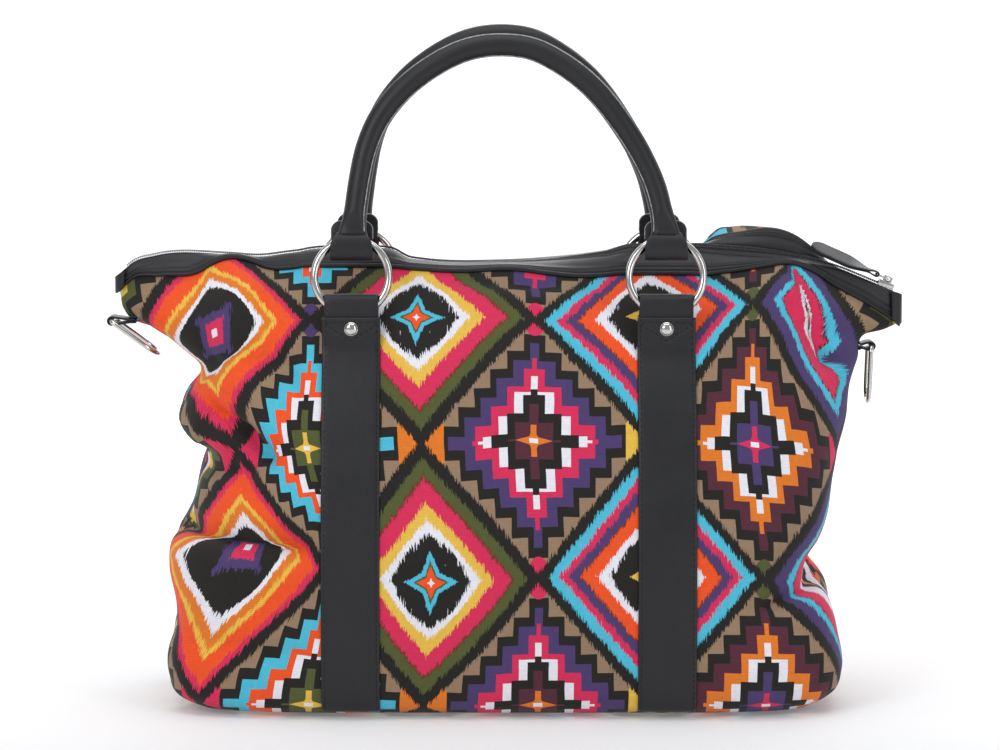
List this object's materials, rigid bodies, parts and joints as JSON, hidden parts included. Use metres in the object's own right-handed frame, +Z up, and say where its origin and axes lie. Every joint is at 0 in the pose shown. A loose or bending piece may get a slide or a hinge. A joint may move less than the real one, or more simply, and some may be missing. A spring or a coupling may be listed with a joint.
{
  "type": "zipped holdall bag",
  "caption": "Soft printed canvas holdall with a zip along its top, leather straps round the body, rolled handles on steel rings and a swinging ring at each end.",
  "frame": {"origin": "middle of the base, at the height of the straps' undersides, on which the bag stands", "axes": "+X along the zip towards the end where the slider stands, +Y from front to back, +Z up"},
  "size_m": [0.5773, 0.2246, 0.4877],
  "materials": {
    "printed_canvas": "matt ribbed cotton canvas, printed with ikat lozenges and stepped diamonds in tan, black, white and bright colours",
    "black_leather": "satin black faux leather with a fine grain",
    "zip_tape": "matt black woven tape",
    "nylon_coil": "black nylon, slightly glossy",
    "polished_steel": "bright nickel plate on steel"
  },
  "bodies": {
    "bag": {"canvas_body": "printed_canvas", "strap_left": "black_leather", "strap_right": "black_leather", "binding_front": "black_leather", "binding_back": "black_leather", "zip_end_left": "black_leather", "zip_end_right": "black_leather", "zip_tape_front": "zip_tape", "zip_tape_back": "zip_tape", "zip_coil_front": "nylon_coil", "zip_coil_back": "nylon_coil", "rivet_front_left": "polished_steel", "rivet_front_right": "polished_steel", "rivet_back_left": "polished_steel", "rivet_back_right": "polished_steel", "d_ring_tab_left": "black_leather", "d_ring_tab_right": "black_leather"},
    "ring_front_left": {"ring_front_left": "polished_steel"},
    "ring_front_right": {"ring_front_right": "polished_steel"},
    "ring_back_left": {"ring_back_left": "polished_steel"},
    "ring_back_right": {"ring_back_right": "polished_steel"},
    "handle_front": {"handle_front": "black_leather"},
    "handle_back": {"handle_back": "black_leather"},
    "zip_slider": {"zip_slider": "polished_steel"},
    "zip_pull": {"zip_pull_link": "polished_steel", "zip_pull_tab": "black_leather"},
    "d_ring_left": {"d_ring_left": "polished_steel"},
    "d_ring_right": {"d_ring_right": "polished_steel"}
  },
  "joints": [
    {"name": "ring_front_left_tilt", "type": "hinge", "parent": "bag", "child": "ring_front_left", "pos_m": [-0.1117, -0.06638, 0.2901], "axis": [1, 0, 0], "range_deg": [0, 20]},
    {"name": "ring_front_right_tilt", "type": "hinge", "parent": "bag", "child": "ring_front_right", "pos_m": [0.1117, -0.06638, 0.2901], "axis": [1, 0, 0], "range_deg": [0, 20]},
    {"name": "ring_back_left_tilt", "type": "hinge", "parent": "bag", "child": "ring_back_left", "pos_m": [-0.1117, 0.06679, 0.2901], "axis": [-1, 0, 0], "range_deg": [0, 20]},
    {"name": "ring_back_right_tilt", "type": "hinge", "parent": "bag", "child": "ring_back_right", "pos_m": [0.1117, 0.06679, 0.2901], "axis": [-1, 0, 0], "range_deg": [0, 20]},
    {"name": "handle_front_swing", "type": "hinge", "parent": "ring_front_left", "child": "handle_front", "pos_m": [-0.1117, -0.0602, 0.3341], "axis": [1, 0, 0], "range_deg": [0, 145]},
    {"name": "handle_back_swing", "type": "hinge", "parent": "ring_back_left", "child": "handle_back", "pos_m": [-0.1117, 0.0606, 0.3341], "axis": [-1, 0, 0], "range_deg": [0, 145]},
    {"name": "zip_slide", "type": "slide", "parent": "bag", "child": "zip_slider", "axis": [-0.923, 0, 0.3848], "range_m": [0, 0.02]},
    {"name": "zip_pull_flip", "type": "hinge", "parent": "zip_slider", "child": "zip_pull", "pos_m": [0.2759, 0, 0.3048], "axis": [0, 1, 0], "range_deg": [0, 165]},
    {"name": "d_ring_left_swing", "type": "hinge", "parent": "bag", "child": "d_ring_left", "pos_m": [-0.28824, 0, 0.2748], "axis": [0, 1, 0], "range_deg": [0, 140]},
    {"name": "d_ring_right_swing", "type": "hinge", "parent": "bag", "child": "d_ring_right", "pos_m": [0.26313, 0, 0.2565], "axis": [0, -1, 0], "range_deg": [-10, 100]}
  ],
  "couplings": [
    {"joint": "ring_front_right_tilt", "follows": "ring_front_left_tilt", "ratio": 1},
    {"joint": "ring_back_right_tilt", "follows": "ring_back_left_tilt", "ratio": 1}
  ]
}
